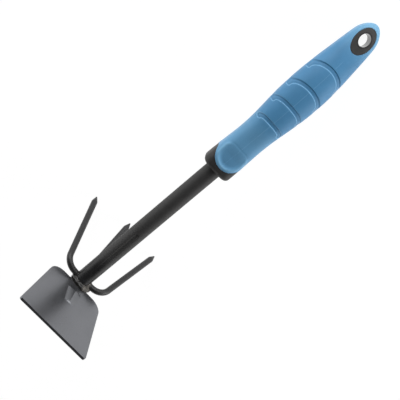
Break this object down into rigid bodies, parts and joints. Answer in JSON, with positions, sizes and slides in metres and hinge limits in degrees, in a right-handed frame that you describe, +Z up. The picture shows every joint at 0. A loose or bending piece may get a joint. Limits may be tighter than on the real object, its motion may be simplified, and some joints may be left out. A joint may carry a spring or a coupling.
{
  "type": "hand hoe",
  "caption": "Combined hand hoe and cultivator: flat blade and bent pointed tines on a steel tube, with a soft moulded handle and a hang hole.",
  "frame": {"origin": "middle of the space the tool takes, on the surface it lies on", "axes": "+X along the tool towards the butt of the handle, +Z up, +Y across towards the left tine; the tool lies on its tine tips and the underside of the butt, blade up"},
  "size_m": [0.3472, 0.0864, 0.162],
  "materials": {
    "blade_steel": "satin",
    "black_steel": "satin",
    "weld_bead": "rough",
    "core_plastic": "matte",
    "cover_rubber": "matte"
  },
  "bodies": {
    "root": {"hoe_blade": "blade_steel", "blade_tang": "black_steel", "shaft_tube": "black_steel", "neck_weld": "weld_bead", "tine_left": "black_steel", "tine_weld_left": "weld_bead", "tine_middle": "black_steel", "tine_weld_middle": "weld_bead", "tine_right": "black_steel", "tine_weld_right": "weld_bead", "handle_core": "core_plastic", "grip_cover": "cover_rubber", "hang_eyelet": "core_plastic"}
  },
  "joints": []
}
